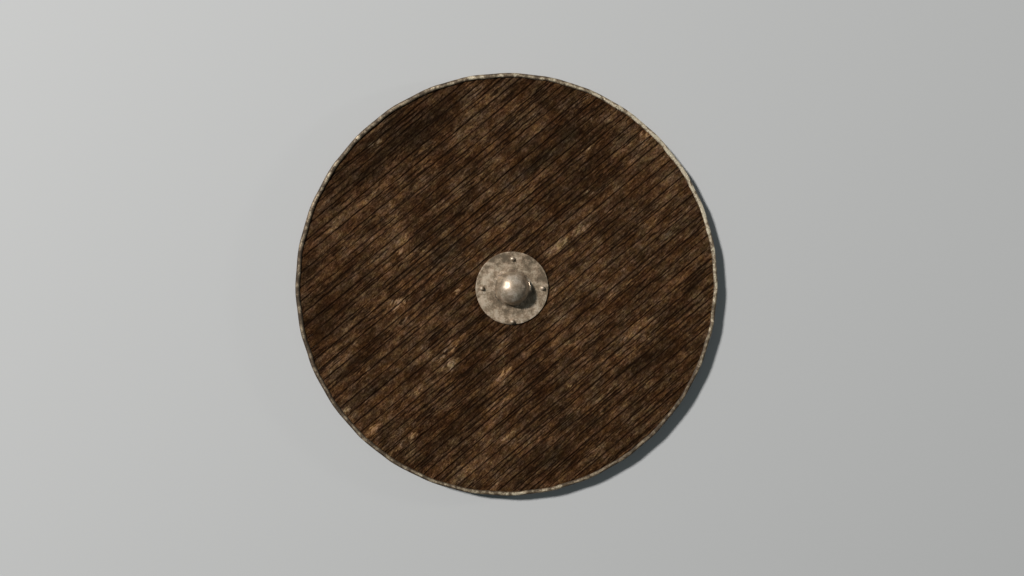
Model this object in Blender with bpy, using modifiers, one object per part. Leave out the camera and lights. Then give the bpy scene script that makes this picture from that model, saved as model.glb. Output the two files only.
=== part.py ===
"""A round wooden shield with a metal rim and a hollow metal boss, lying on its back.

Units are metres and +Z is up. The face looks up, the middle of the shield is over
the origin, and the flat underside of the grip rests at z = 0.
"""

import math

import bmesh
import bpy

# The whole shield
SHIELD_DIAMETER = 0.880  # from corner to corner of the rim, before its corners are eased
FLAT_COUNT = 32  # short straight sides of the rim, and of the wood inside it
CORNER_EASE = 0.012  # how far the easing of a corner runs along each side
FIT_GAP = 0.0003  # clearance between two pieces that meet

# The boards
BOARD_COUNT = 41
BOARD_THICKNESS = 0.010
BOARD_TURN = math.radians(39.6)  # the run of the boards, turned up from +X
BOARD_EASE = 0.0012  # chamfer of the long edges, which makes a V at each joint
ROW_SPARE = 0.007  # how far the row of boards ran past the disc before it was sawn round
ROW_OFFSET = 0.0043  # how far the middle of the row lies from the middle of the disc

# The rim, a channel bent over the edge of the wood
RIM_BAND = 0.0095  # width of each lip, from the outside of the rim
RIM_WALL = 0.0022  # metal outside the edge of the wood
RIM_CREST = 0.0022  # metal over the wood, where the lip is thickest
RIM_LIP = 0.0009  # metal at the inner edge of the lip
RIM_NOSE = 0.0055  # from the outside of the rim in to its crest
NOSE_FULLNESS = 2.6  # 2 would be an ellipse, and more is squarer
NOSE_STEPS = 8

# The boss, one sheet raised into a dome with a flange around it
BOSS_SHEET = 0.002
DOME_DIAMETER = 0.068
DOME_HEIGHT = 0.038  # above the flange
DOME_FILLET = 0.004  # hollow curve from the dome into the flange
FLANGE_WIDTH = 0.0378  # flat ring outside the hollow curve
BOSS_STEPS = 40
DOME_STEPS = 7
FILLET_STEPS = 2

# The hole for the hand, hidden under the boss
HOLE_MARGIN = 0.010  # how much further out than the dome the hole reaches
HOLE_STEPS = 48

# The four rivets of the boss: name, number of the board that it goes through, its place across
# that board as a share of the board's width from its middle, the end of the board that it lies
# towards, and its distance in from the flange's edge
RIVET_SPOTS = (
    ("right", 23, -0.036, 1, 0.0133),
    ("top", 19, -0.046, 1, 0.0152),
    ("left", 19, -0.360, -1, 0.0131),
    ("bottom", 24, 0.355, -1, 0.0068),
)
RIVET_HEAD_DIAMETER = 0.010
RIVET_HEAD_HEIGHT = 0.0065
RIVET_SHANK_DIAMETER = 0.0032
RIVET_TAIL_DIAMETER = 0.0075
RIVET_TAIL_HEIGHT = 0.0018

# The grip, one lath across the back at right angles to the boards
HAND_LENGTH = 0.180  # the deep part that is held
HAND_WIDTH = 0.030
HAND_SWELL = 0.009  # how much deeper the held part is than the arms
SLOPE_LENGTH = 0.025  # from the held part up to an arm
ARM_DEPTH = 0.011
ARM_END_WIDTH = 0.022
ARM_END_GAP = 0.040  # from the end of an arm to the rim's lip
GRIP_ROUNDING = 0.003
GRIP_ROUNDING_STEPS = 2

# The nails of the grip
NAIL_HEAD_DIAMETER = 0.009
NAIL_HEAD_HEIGHT = 0.0018
NAIL_SHANK_DIAMETER = 0.003
NAIL_BITE = 0.007  # how far a nail goes into its board
NAIL_TIP = 0.003  # length of its point
NAIL_EDGE = 0.012  # least distance from a nail to either end of its arm

FASTENER_STEPS = 12
HEAD_STEPS = 3
CUTTER_SPARE = 0.004  # how far a cutter runs past what it cuts
MERGE_DISTANCE = 0.00001
SHARP_ANGLE = math.radians(35)
NAIL_BELLY = 0.6  # share of a nail head's height at which it starts to round over

# Sizes that follow
OUTER_RADIUS = SHIELD_DIAMETER / 2
DISC_RADIUS = OUTER_RADIUS - RIM_WALL - FIT_GAP
BOARD_PITCH = 2 * (DISC_RADIUS + ROW_SPARE) / BOARD_COUNT
BOARD_WIDTH = BOARD_PITCH - FIT_GAP
HOLE_RADIUS = DOME_DIAMETER / 2 + HOLE_MARGIN
FLANGE_RADIUS = DOME_DIAMETER / 2 + DOME_FILLET + FLANGE_WIDTH
ARM_REACH = OUTER_RADIUS - RIM_BAND - ARM_END_GAP
ARM_START = HAND_LENGTH / 2 + SLOPE_LENGTH

# Heights that follow, from the underside of the grip upwards
ARM_Z = HAND_SWELL
GRIP_TOP_Z = HAND_SWELL + ARM_DEPTH
BACK_Z = GRIP_TOP_Z + FIT_GAP
FACE_Z = BACK_Z + BOARD_THICKNESS
FLANGE_Z = FACE_Z + FIT_GAP + BOSS_SHEET

# Finishes: colour, roughness and metallic value
FINISHES = {
    "aged_wood": ((0.060, 0.038, 0.024), 0.75, 0.0),
    "grip_wood": ((0.095, 0.060, 0.036), 0.70, 0.0),
    "rim_metal": ((0.300, 0.265, 0.215), 0.55, 0.8),
    "boss_metal": ((0.290, 0.255, 0.205), 0.50, 0.8),
    "rivet_metal": ((0.340, 0.300, 0.245), 0.45, 0.8),
    "nail_iron": ((0.110, 0.100, 0.090), 0.60, 0.8),
}


def clear_scene():
    for obj in list(bpy.data.objects):
        bpy.data.objects.remove(obj)


def make_collection(name):
    collection = bpy.data.collections.new(name)
    bpy.context.scene.collection.children.link(collection)
    return collection


def make_materials():
    made = {}
    for name, (colour, roughness, metallic) in FINISHES.items():
        material = bpy.data.materials.new(name)
        material.use_nodes = True
        shader = material.node_tree.nodes["Principled BSDF"]
        shader.inputs["Base Color"].default_value = (*colour, 1)
        shader.inputs["Roughness"].default_value = roughness
        shader.inputs["Metallic"].default_value = metallic
        made[name] = material
    return made


def make_object(name, mesh, collection, location=(0, 0, 0), turn=0.0):
    obj = bpy.data.objects.new(name, mesh)
    obj.location = location
    obj.rotation_euler.z = turn
    collection.objects.link(obj)
    return obj


def mesh_of(name, bm):
    bmesh.ops.recalc_face_normals(bm, faces=bm.faces)
    mesh = bpy.data.meshes.new(name)
    bm.to_mesh(mesh)
    bm.free()
    return mesh


def shade_round(mesh):
    mesh.shade_smooth()
    mesh.set_sharp_from_angle(angle=SHARP_ANGLE)


def settle(obj):
    """Makes what an object's modifiers give its own mesh, shaded round but for its edges."""
    bpy.context.view_layer.update()
    graph = bpy.context.evaluated_depsgraph_get()
    mesh = bpy.data.meshes.new_from_object(obj.evaluated_get(graph))
    obj.modifiers.clear()
    obj.data = mesh
    shade_round(mesh)


def cut(obj, cutter, operation="DIFFERENCE"):
    boolean = obj.modifiers.new(cutter.name, "BOOLEAN")
    boolean.operation = operation
    boolean.solver = "EXACT"
    boolean.object = cutter


def outline_object(name, points, closed, collection, location=(0, 0, 0)):
    """A line through (radius, height) points, which a Screw modifier turns about Z."""
    bm = bmesh.new()
    corners = [bm.verts.new((radius, 0, height)) for radius, height in points]
    for first, second in zip(corners, corners[1:]):
        bm.edges.new((first, second))
    if closed:
        bm.edges.new((corners[-1], corners[0]))
    mesh = bpy.data.meshes.new(name)
    bm.to_mesh(mesh)
    bm.free()
    return make_object(name, mesh, collection, location)


def turn_outline(obj, steps):
    screw = obj.modifiers.new("turned", "SCREW")
    screw.steps = steps
    screw.render_steps = steps
    screw.use_merge_vertices = True
    screw.merge_threshold = MERGE_DISTANCE


def cylinder_cutter(name, radius, steps, low, high, collection, spot=(0, 0)):
    bm = bmesh.new()
    bmesh.ops.create_cone(
        bm, cap_ends=True, segments=steps, radius1=radius, radius2=radius, depth=high - low
    )
    location = (spot[0], spot[1], (low + high) / 2)
    cutter = make_object(name, mesh_of(name, bm), collection, location)
    cutter.hide_render = True
    cutter.display_type = "WIRE"
    return cutter


def ease_corners(mesh, chosen):
    """Cuts off the corners between the short straight sides, along the chosen edges."""
    bm = bmesh.new()
    bm.from_mesh(mesh)
    edges = [edge for edge in bm.edges if chosen(edge)]
    bmesh.ops.bevel(
        bm, geom=edges, offset=CORNER_EASE, offset_type="OFFSET", segments=1, affect="EDGES"
    )
    bmesh.ops.recalc_face_normals(bm, faces=bm.faces)
    bm.to_mesh(mesh)
    bm.free()


def stands_upright(edge):
    first, second = (vert.co for vert in edge.verts)
    return (first - second).xy.length < MERGE_DISTANCE


def lies_in_radial_plane(edge):
    first, second = (vert.co.xy.normalized() for vert in edge.verts)
    return (first - second).length < MERGE_DISTANCE


def disc_cutter(collection):
    """The outline that the row of boards is sawn to."""
    low = BACK_Z - CUTTER_SPARE
    high = FACE_Z + CUTTER_SPARE
    cutter = cylinder_cutter("disc_outline", DISC_RADIUS, FLAT_COUNT, low, high, collection)
    ease_corners(cutter.data, stands_upright)
    return cutter


def along_and_across(spot):
    """A place on the shield, measured along the boards and across them."""
    x, y = spot
    along = x * math.cos(BOARD_TURN) + y * math.sin(BOARD_TURN)
    across = y * math.cos(BOARD_TURN) - x * math.sin(BOARD_TURN)
    return along, across


def place_of(along, across):
    """The same place, back in x and y."""
    x = along * math.cos(BOARD_TURN) - across * math.sin(BOARD_TURN)
    y = along * math.sin(BOARD_TURN) + across * math.cos(BOARD_TURN)
    return x, y


def board_middle(index):
    """How far across the shield the middle of a board lies, from the upper left down."""
    return ROW_OFFSET + ((BOARD_COUNT - 1) / 2 - index) * BOARD_PITCH


def board_blank(name, start, end):
    """A sawn board with its four long edges eased, from start to end along X."""
    bm = bmesh.new()
    bmesh.ops.create_cube(bm, size=1)
    bmesh.ops.scale(bm, vec=(end - start, BOARD_WIDTH, BOARD_THICKNESS), verts=bm.verts)
    bmesh.ops.translate(bm, vec=((start + end) / 2, 0, 0), verts=bm.verts)
    long_edges = [e for e in bm.edges if abs(e.verts[0].co.x - e.verts[1].co.x) > BOARD_WIDTH]
    bmesh.ops.bevel(bm, geom=long_edges, offset=BOARD_EASE, segments=1, affect="EDGES")
    return mesh_of(name, bm)


def make_boards(collection, material, disc, hand_hole, shank_holes):
    """The row of boards. One that the hand hole cuts through is two pieces."""
    reach = DISC_RADIUS + CUTTER_SPARE
    blanks = {
        "": board_blank("board", -reach, reach),
        "_lower": board_blank("lower_half_board", -reach, 0),
        "_upper": board_blank("upper_half_board", 0, reach),
    }
    for blank in blanks.values():
        blank.materials.append(material)
    for index in range(BOARD_COUNT):
        middle = board_middle(index)
        nearest_edge = abs(middle) - BOARD_WIDTH / 2
        furthest_edge = abs(middle) + BOARD_WIDTH / 2
        ends = ("_lower", "_upper") if furthest_edge < HOLE_RADIUS else ("",)
        for end in ends:
            location = (*place_of(0, middle), (BACK_Z + FACE_Z) / 2)
            name = f"board_{index + 1:02d}{end}"
            board = make_object(name, blanks[end], collection, location, BOARD_TURN)
            cut(board, disc, "INTERSECT")
            if nearest_edge < HOLE_RADIUS:
                cut(board, hand_hole)
            for hole in shank_holes:
                along, across = along_and_across(hole.location.xy)
                reached = abs(across - middle) < (BOARD_WIDTH + hole.dimensions.x) / 2
                wrong_half = (end == "_lower" and along > 0) or (end == "_upper" and along < 0)
                if reached and not wrong_half:
                    cut(board, hole)


def rim_outline():
    """The channel's section: over the nose from the front lip to the back lip, and back inside."""
    middle_z = (BACK_Z + FACE_Z) / 2
    half_channel = BOARD_THICKNESS / 2 + FIT_GAP
    crest = half_channel + RIM_CREST
    points = [(OUTER_RADIUS - RIM_BAND, middle_z + half_channel + RIM_LIP)]
    for step in range(NOSE_STEPS + 1):
        angle = math.pi / 2 - math.pi * step / NOSE_STEPS
        out = max(math.cos(angle), 0) ** (2 / NOSE_FULLNESS)
        up = math.copysign(abs(math.sin(angle)) ** (2 / NOSE_FULLNESS), angle)
        points.append((OUTER_RADIUS - RIM_NOSE * (1 - out), middle_z + crest * up))
    points.append((OUTER_RADIUS - RIM_BAND, middle_z - half_channel - RIM_LIP))
    points.append((OUTER_RADIUS - RIM_BAND, middle_z - half_channel))
    points.append((OUTER_RADIUS - RIM_WALL, middle_z - half_channel))
    points.append((OUTER_RADIUS - RIM_WALL, middle_z + half_channel))
    points.append((OUTER_RADIUS - RIM_BAND, middle_z + half_channel))
    return points


def make_rim(collection, material):
    rim = outline_object("rim", rim_outline(), True, collection)
    turn_outline(rim, FLAT_COUNT)
    settle(rim)
    ease_corners(rim.data, lies_in_radial_plane)
    shade_round(rim.data)
    rim.data.materials.append(material)


def boss_outline():
    """The outer face of the sheet, from the top of the dome to the edge of the flange."""
    radius = DOME_DIAMETER / 2
    points = []
    for step in range(DOME_STEPS + 1):
        angle = math.pi / 2 * (1 - step / DOME_STEPS)
        height = DOME_FILLET + (DOME_HEIGHT - DOME_FILLET) * math.sin(angle)
        out = 0 if step == 0 else radius * math.cos(angle)
        points.append((out, FLANGE_Z + height))
    for step in range(1, FILLET_STEPS + 1):
        angle = math.pi / 2 * step / FILLET_STEPS
        out = radius + DOME_FILLET * (1 - math.cos(angle))
        points.append((out, FLANGE_Z + DOME_FILLET * (1 - math.sin(angle))))
    points.append((FLANGE_RADIUS, FLANGE_Z))
    return points


def make_boss(collection, material, shank_holes):
    boss = outline_object("boss", boss_outline(), False, collection)
    turn_outline(boss, BOSS_STEPS)
    sheet = boss.modifiers.new("sheet", "SOLIDIFY")
    sheet.thickness = BOSS_SHEET
    sheet.offset = -1
    sheet.use_even_offset = True
    for hole in shank_holes:
        cut(boss, hole)
    settle(boss)
    boss.data.materials.append(material)


def rivet_outline():
    """Domed head, shank and hammered tail, measured from the top of the flange."""
    head = RIVET_HEAD_DIAMETER / 2
    shank = RIVET_SHANK_DIAMETER / 2
    tail = RIVET_TAIL_DIAMETER / 2
    tail_z = BACK_Z - FIT_GAP - FLANGE_Z
    points = []
    for step in range(HEAD_STEPS + 1):
        angle = math.pi / 2 * (1 - step / HEAD_STEPS)
        out = 0 if step == 0 else head * math.cos(angle)
        points.append((out, FIT_GAP + RIVET_HEAD_HEIGHT * math.sin(angle)))
    points.append((shank, FIT_GAP))
    points.append((shank, tail_z))
    points.append((tail, tail_z))
    points.append((shank, tail_z - RIVET_TAIL_HEIGHT))
    points.append((0, tail_z - RIVET_TAIL_HEIGHT))
    return points


def rivet_places():
    """Each rivet stays in its board, and at its distance from the middle of the boss."""
    for name, board, share, end, inset in RIVET_SPOTS:
        distance = FLANGE_RADIUS - inset
        across = board_middle(board - 1) + share * BOARD_WIDTH
        along = end * math.sqrt(distance**2 - across**2)
        yield name, place_of(along, across)


def make_rivets(collection, material):
    for name, (x, y) in rivet_places():
        location = (x, y, FLANGE_Z)
        rivet = outline_object(f"boss_rivet_{name}", rivet_outline(), False, collection, location)
        turn_outline(rivet, FASTENER_STEPS)
        settle(rivet)
        rivet.data.materials.append(material)


def rivet_hole_cutters(collection):
    """Round cutters through flange and wood, one for each rivet."""
    radius = RIVET_SHANK_DIAMETER / 2 + FIT_GAP
    low = BACK_Z - CUTTER_SPARE
    high = FLANGE_Z + CUTTER_SPARE
    return [
        cylinder_cutter(f"{name}_rivet_hole", radius, FASTENER_STEPS, low, high, collection, spot)
        for name, spot in rivet_places()
    ]


def nail_places():
    """Three nails in each arm, each in the middle of a board: next to both ends and halfway."""
    nearest = ARM_START + NAIL_EDGE
    furthest = ARM_REACH - NAIL_EDGE
    middles = [board_middle(index) for index in range(BOARD_COUNT)]
    places = []
    for side in (1, -1):
        held = sorted(m * side for m in middles if nearest <= m * side <= furthest)
        chosen = sorted({held[0], held[len(held) // 2], held[-1]}) if held else []
        places += [place_of(0, side * distance) for distance in chosen]
    return places


def nail_outline():
    """Point, shank and head, measured from the underside of the arm."""
    shank = NAIL_SHANK_DIAMETER / 2
    head = NAIL_HEAD_DIAMETER / 2
    tip_z = BACK_Z + NAIL_BITE - ARM_Z
    return [
        (0, tip_z),
        (shank, tip_z - NAIL_TIP),
        (shank, -FIT_GAP),
        (head, -FIT_GAP),
        (head, -FIT_GAP - NAIL_HEAD_HEIGHT * NAIL_BELLY),
        (shank, -FIT_GAP - NAIL_HEAD_HEIGHT),
        (0, -FIT_GAP - NAIL_HEAD_HEIGHT),
    ]


def make_nails(collection, material):
    for number, (x, y) in enumerate(nail_places(), start=1):
        location = (x, y, ARM_Z)
        nail = outline_object(f"grip_nail_{number}", nail_outline(), False, collection, location)
        turn_outline(nail, FASTENER_STEPS)
        settle(nail)
        nail.data.materials.append(material)


def nail_hole_cutters(collection):
    """Round cutters through the grip and into the wood behind the face."""
    radius = NAIL_SHANK_DIAMETER / 2 + FIT_GAP
    low = ARM_Z - CUTTER_SPARE
    high = BACK_Z + NAIL_BITE + FIT_GAP
    return [
        cylinder_cutter(f"nail_hole_{number}", radius, FASTENER_STEPS, low, high, collection, spot)
        for number, spot in enumerate(nail_places(), start=1)
    ]


def grip_blank():
    """The lath before its edges are rounded: deep in the hand, thin and narrowing in the arms."""
    bm = bmesh.new()
    bmesh.ops.create_cube(bm, size=1)
    bmesh.ops.scale(bm, vec=(HAND_WIDTH, 2 * ARM_REACH, GRIP_TOP_Z), verts=bm.verts)
    bmesh.ops.translate(bm, vec=(0, 0, GRIP_TOP_Z / 2), verts=bm.verts)
    for station in (HAND_LENGTH / 2, ARM_START):
        for side in (1, -1):
            bmesh.ops.bisect_plane(
                bm,
                geom=bm.verts[:] + bm.edges[:] + bm.faces[:],
                plane_co=(0, side * station, 0),
                plane_no=(0, 1, 0),
            )
    for vert in bm.verts:
        out = max(abs(vert.co.y) - HAND_LENGTH / 2, 0) / (ARM_REACH - HAND_LENGTH / 2)
        vert.co.x *= 1 - out * (1 - ARM_END_WIDTH / HAND_WIDTH)
        if abs(vert.co.y) > ARM_START - MERGE_DISTANCE and vert.co.z < GRIP_TOP_Z / 2:
            vert.co.z = ARM_Z
    return mesh_of("grip", bm)


def make_grip(collection, material, nail_holes):
    grip = make_object("grip", grip_blank(), collection, turn=BOARD_TURN)
    rounding = grip.modifiers.new("rounding", "BEVEL")
    rounding.width = GRIP_ROUNDING
    rounding.segments = GRIP_ROUNDING_STEPS
    rounding.limit_method = "ANGLE"
    for hole in nail_holes:
        cut(grip, hole)
    settle(grip)
    grip.data.materials.append(material)


def main():
    clear_scene()
    shield = make_collection("round_shield")
    cutters = make_collection("cutters")
    materials = make_materials()
    disc = disc_cutter(cutters)
    low = BACK_Z - CUTTER_SPARE
    high = FACE_Z + CUTTER_SPARE
    hand_hole = cylinder_cutter("hand_hole", HOLE_RADIUS, HOLE_STEPS, low, high, cutters)
    rivet_holes = rivet_hole_cutters(cutters)
    nail_holes = nail_hole_cutters(cutters)
    make_boards(shield, materials["aged_wood"], disc, hand_hole, rivet_holes + nail_holes)
    make_rim(shield, materials["rim_metal"])
    make_boss(shield, materials["boss_metal"], rivet_holes)
    make_rivets(shield, materials["rivet_metal"])
    make_grip(shield, materials["grip_wood"], nail_holes)
    make_nails(shield, materials["nail_iron"])
    middle = bpy.data.objects.new("shield_middle", None)
    shield.objects.link(middle)
    for obj in shield.objects:
        if obj is not middle:
            obj.parent = middle


main()
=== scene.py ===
# %% [markdown]
# # A round wooden shield
#
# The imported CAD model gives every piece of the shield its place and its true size. This lesson dresses it:
# it builds finer pieces in the same places, with the grain, cracks, dents and wear of an old shield, and
# gives each of them a procedural finish. The shield lies on its back, with its face up, and the camera
# looks down on it.

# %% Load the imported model
import math

import bmesh
import bpy
import numpy as np
from mathutils import Matrix, Vector


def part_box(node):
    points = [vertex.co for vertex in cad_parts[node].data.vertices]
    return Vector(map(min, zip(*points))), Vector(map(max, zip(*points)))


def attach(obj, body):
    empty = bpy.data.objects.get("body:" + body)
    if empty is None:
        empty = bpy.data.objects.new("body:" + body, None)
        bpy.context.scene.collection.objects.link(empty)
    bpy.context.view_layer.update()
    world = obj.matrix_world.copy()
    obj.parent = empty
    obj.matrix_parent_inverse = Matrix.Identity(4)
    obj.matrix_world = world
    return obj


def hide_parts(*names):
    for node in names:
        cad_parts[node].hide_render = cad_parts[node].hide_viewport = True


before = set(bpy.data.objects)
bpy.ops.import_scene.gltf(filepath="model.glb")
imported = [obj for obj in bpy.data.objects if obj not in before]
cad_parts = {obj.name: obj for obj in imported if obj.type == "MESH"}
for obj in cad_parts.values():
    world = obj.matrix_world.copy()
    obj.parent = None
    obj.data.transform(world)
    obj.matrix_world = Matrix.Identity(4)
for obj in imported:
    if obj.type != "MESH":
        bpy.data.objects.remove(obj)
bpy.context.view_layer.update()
MM = 0.001

# %% [markdown]
# ## The camera
#
# The photograph looks almost straight down on the face, six degrees off, from the upper left. A tracking
# constraint would roll the picture, so the camera's three axes are set one by one: back from the face, up
# the picture, and to the right.

# %% Camera
PICTURE_WIDTH = 1024  # pixels
FOCAL_LENGTH = 695.3  # in the same pixels
VIEW_TILT = math.radians(6.0)
VIEW_SIDE = Vector((-0.83, 0.56, 0)).normalized()
VIEW_DISTANCE = 1.435
BOSS_SHEET = 2.0 * MM

boss_low, boss_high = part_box("boss")
flange_z = boss_low.z + BOSS_SHEET
aim = Vector((-0.5 * MM, 0.4 * MM, flange_z))
back = VIEW_SIDE * math.sin(VIEW_TILT) + Vector((0, 0, math.cos(VIEW_TILT)))
up = (Vector((0, 1, 0)) - back * back.y).normalized()
right = up.cross(back)


def add_object(name, data):
    """Puts a new object with this data into the scene."""
    made = bpy.data.objects.new(name, data)
    bpy.context.scene.collection.objects.link(made)
    return made


camera_data = bpy.data.cameras.new("photo_camera")
camera_data.lens = camera_data.sensor_width * FOCAL_LENGTH / PICTURE_WIDTH
camera = add_object("photo_camera", camera_data)
turn_to_face = Matrix((right, up, back)).transposed().to_4x4()
camera.matrix_world = Matrix.Translation(aim + back * VIEW_DISTANCE) @ turn_to_face
bpy.context.scene.camera = camera
print("lens in mm:", round(camera_data.lens, 2))

# %% [markdown]
# ## Light and floor
#
# The main light stands at the upper left, 40 degrees above the face. It is small enough for the boss to
# throw a clear shadow. A weak lamp low at the right gives the foot of the dome its second highlight, and an
# even, slightly cool world fills the shadows. The floor is a plain pale sheet under the shield.

# %% Light
def studio_light(name, azimuth, elevation, distance, size, power):
    """A round lamp that faces the middle of the shield, seen from it at these angles in degrees."""
    data = bpy.data.lights.new(name, "AREA")
    data.shape = "DISK"
    data.size = size
    data.energy = power
    azimuth, elevation = math.radians(azimuth), math.radians(elevation)
    level = math.cos(elevation)
    towards = Vector((level * math.cos(azimuth), level * math.sin(azimuth), math.sin(elevation)))
    lamp = add_object(name, data)
    lamp.location = aim + towards * distance
    lamp.rotation_euler = towards.to_track_quat("Z", "Y").to_euler()


studio_light("main_light", azimuth=146, elevation=40.0, distance=12.0, size=1.2, power=1900)
studio_light("side_light", azimuth=9, elevation=14, distance=6.0, size=0.5, power=38)

FILL_COLOUR = (0.070, 0.088, 0.094, 1)
world = bpy.data.worlds.new("studio")
world.use_nodes = True
world.node_tree.nodes["Background"].inputs["Color"].default_value = FILL_COLOUR
bpy.context.scene.world = world
bpy.context.scene.view_settings.view_transform = "Standard"

# %% Floor
FLOOR_HALF = 6.0
floor_data = bpy.data.meshes.new("floor")
corners = [(x * FLOOR_HALF, y * FLOOR_HALF, 0) for x, y in ((-1, -1), (1, -1), (1, 1), (-1, 1))]
floor_data.from_pydata(corners, [], [(0, 1, 2, 3)])
floor = add_object("floor", floor_data)

# %% [markdown]
# ## Helpers for shapes
#
# Nearly every piece here is a grid of points: rows along a board or round a ring, and columns across its
# section. One function turns such a grid into a closed mesh. The unevenness of old work comes from soft
# hills, a smooth random height for each place, which is the same on every run.

# %% Soft hills
def lattice(ix, iy, seed):
    """A fixed random number from 0 to 1 for each crossing of a grid."""
    mixed = (ix * 374761393 + iy * 668265263 + seed * 974634777) & 0xFFFFFFFF
    mixed = ((mixed ^ (mixed >> 13)) * 1274126177) & 0xFFFFFFFF
    return ((mixed ^ (mixed >> 16)) & 0xFFFF) / 0xFFFF


def hills(x, y, seed):
    """Smooth random heights from -1 to 1, about one hill for each unit of x and y."""
    x, y = np.broadcast_arrays(np.asarray(x, float), np.asarray(y, float))
    ix, iy = np.floor(x).astype(np.int64), np.floor(y).astype(np.int64)
    fx, fy = x - ix, y - iy
    fx, fy = fx * fx * (3 - 2 * fx), fy * fy * (3 - 2 * fy)
    low = lattice(ix, iy, seed) * (1 - fx) + lattice(ix + 1, iy, seed) * fx
    high = lattice(ix, iy + 1, seed) * (1 - fx) + lattice(ix + 1, iy + 1, seed) * fx
    return 2 * (low * (1 - fy) + high * fy) - 1


print("hills from", round(float(hills(np.arange(99) / 3, 0.5, 1).min()), 2), "upwards")


# %% Grids of points
SHARP_ANGLE = math.radians(50)


def grid_piece(name, points, round_rows=False, round_columns=True, seal_ends=False, poles=False):
    """A closed mesh piece from points in rows and columns."""
    rows, columns = points.shape[:2]
    index = np.arange(rows * columns).reshape(rows, columns)
    here, below = index, np.roll(index, -1, axis=0)
    if not round_rows:
        here, below = here[:-1], below[:-1]
    here_next, below_next = np.roll(here, -1, axis=1), np.roll(below, -1, axis=1)
    quads = np.stack([here, below, below_next, here_next], axis=-1)
    if not round_columns:
        quads = quads[:, :-1]
    faces = quads.reshape(-1, 4).tolist()
    if seal_ends:
        faces += [index[0].tolist(), index[-1][::-1].tolist()]
    mesh = bpy.data.meshes.new(name)
    mesh.from_pydata(points.reshape(-1, 3).tolist(), [], faces)
    bm = bmesh.new()
    bm.from_mesh(mesh)
    if poles:
        bmesh.ops.remove_doubles(bm, verts=bm.verts, dist=0.001 * MM)
    bmesh.ops.recalc_face_normals(bm, faces=bm.faces)
    bm.to_mesh(mesh)
    bm.free()
    mesh.shade_smooth()
    mesh.set_sharp_from_angle(angle=SHARP_ANGLE)
    return add_object(name, mesh)


def mesh_points(piece):
    """The places of a piece's points, as rows of x, y and z."""
    flat = np.empty(len(piece.data.vertices) * 3)
    piece.data.vertices.foreach_get("co", flat)
    return flat.reshape(-1, 3)


def store(piece, **layers):
    """Keeps a number or, from a grid of vectors, a vector for each point, for the finish to read."""
    for name, values in layers.items():
        vector = np.ndim(values) > 2
        layer = piece.data.attributes.new(name, "FLOAT_VECTOR" if vector else "FLOAT", "POINT")
        layer.data.foreach_set("vector" if vector else "value", np.ravel(values).astype(np.float32))


def turned(turns, reach, rise):
    """Points round the Z axis, from a radius and a height at each turn."""
    return np.stack([reach * np.cos(turns), reach * np.sin(turns), rise + 0 * reach], axis=-1)


def middle_of(node, height):
    """The middle of a CAD node seen from above, at this height."""
    low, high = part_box(node)
    return np.array(((low.x + high.x) / 2, (low.y + high.y) / 2, height))


def put_in_place(piece, node, material):
    """The piece stands for its CAD node, moves with the shield and has its finish."""
    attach(piece, "root")
    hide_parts(node)
    piece.data.materials.append(material)


# %% [markdown]
# ## Helpers for finishes
#
# A finish is a network of shader nodes. These helpers add one node each and return its output, so that a
# network reads like a sum. What more than one finish uses is a node group.

# %% Node helpers
def add_node(tree, kind, inputs=None, **settings):
    """Adds a shader node. An input takes a number, a colour or the output of another node."""
    node = tree.nodes.new("ShaderNode" + kind)
    for name, value in settings.items():
        setattr(node, name, value)
    for name, value in (inputs or {}).items():
        if isinstance(value, bpy.types.NodeSocket):
            tree.links.new(value, node.inputs[name])
        else:
            node.inputs[name].default_value = value
    return node


def place_group(tree, group, inputs):
    """Places a node group in a finish and returns its outputs."""
    return add_node(tree, "Group", inputs, node_tree=group).outputs


def calc(tree, operation, first, second=0.0):
    return add_node(tree, "Math", {0: first, 1: second}, operation=operation).outputs[0]


def less(tree, start, value, weight):
    """A start value minus a share of another one."""
    return calc(tree, "SUBTRACT", start, calc(tree, "MULTIPLY", value, weight))


def scaled(tree, vector, factor):
    """A vector times one number, an output or three numbers."""
    if isinstance(factor, tuple):
        return add_node(tree, "VectorMath", {0: vector, 1: factor}, operation="MULTIPLY").outputs[0]
    return add_node(tree, "VectorMath", {0: vector, "Scale": factor}, operation="SCALE").outputs[0]


def weighed_sum(tree, parts):
    """The sum of several outputs, each times its weight."""
    total = None
    for value, weight in parts:
        share = calc(tree, "MULTIPLY", value, weight)
        total = share if total is None else calc(tree, "ADD", total, share)
    return total


def stretch(tree, value, low, high, to_low=0.0, to_high=1.0):
    """Turns the range from low to high into another one, and stops at its ends."""
    inputs = {"Value": value, "From Min": low, "From Max": high, "To Min": to_low, "To Max": to_high}
    return add_node(tree, "MapRange", inputs, interpolation_type="SMOOTHSTEP").outputs[0]


def blend(tree, factor, first, second, how="MIX"):
    first, second = (
        (*c, 1) if isinstance(c, tuple) and len(c) == 3 else c for c in (first, second)
    )
    inputs = {0: factor, 6: first, 7: second}
    return add_node(tree, "Mix", inputs, data_type="RGBA", blend_type=how).outputs[2]


def colour_ramp(tree, value, stops):
    node = add_node(tree, "ValToRGB", {"Fac": value})
    elements = node.color_ramp.elements
    while len(elements) < len(stops):
        elements.new(0.5)
    for element, (place, colour) in zip(elements, stops):
        element.position = place
        element.color = (*colour, 1)
    return node.outputs["Color"]


def plain_noise(tree, vector, detail, rough):
    inputs = {"Vector": vector, "Scale": 1.0, "Detail": detail, "Roughness": rough}
    return add_node(tree, "TexNoise", inputs).outputs[0]


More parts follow.
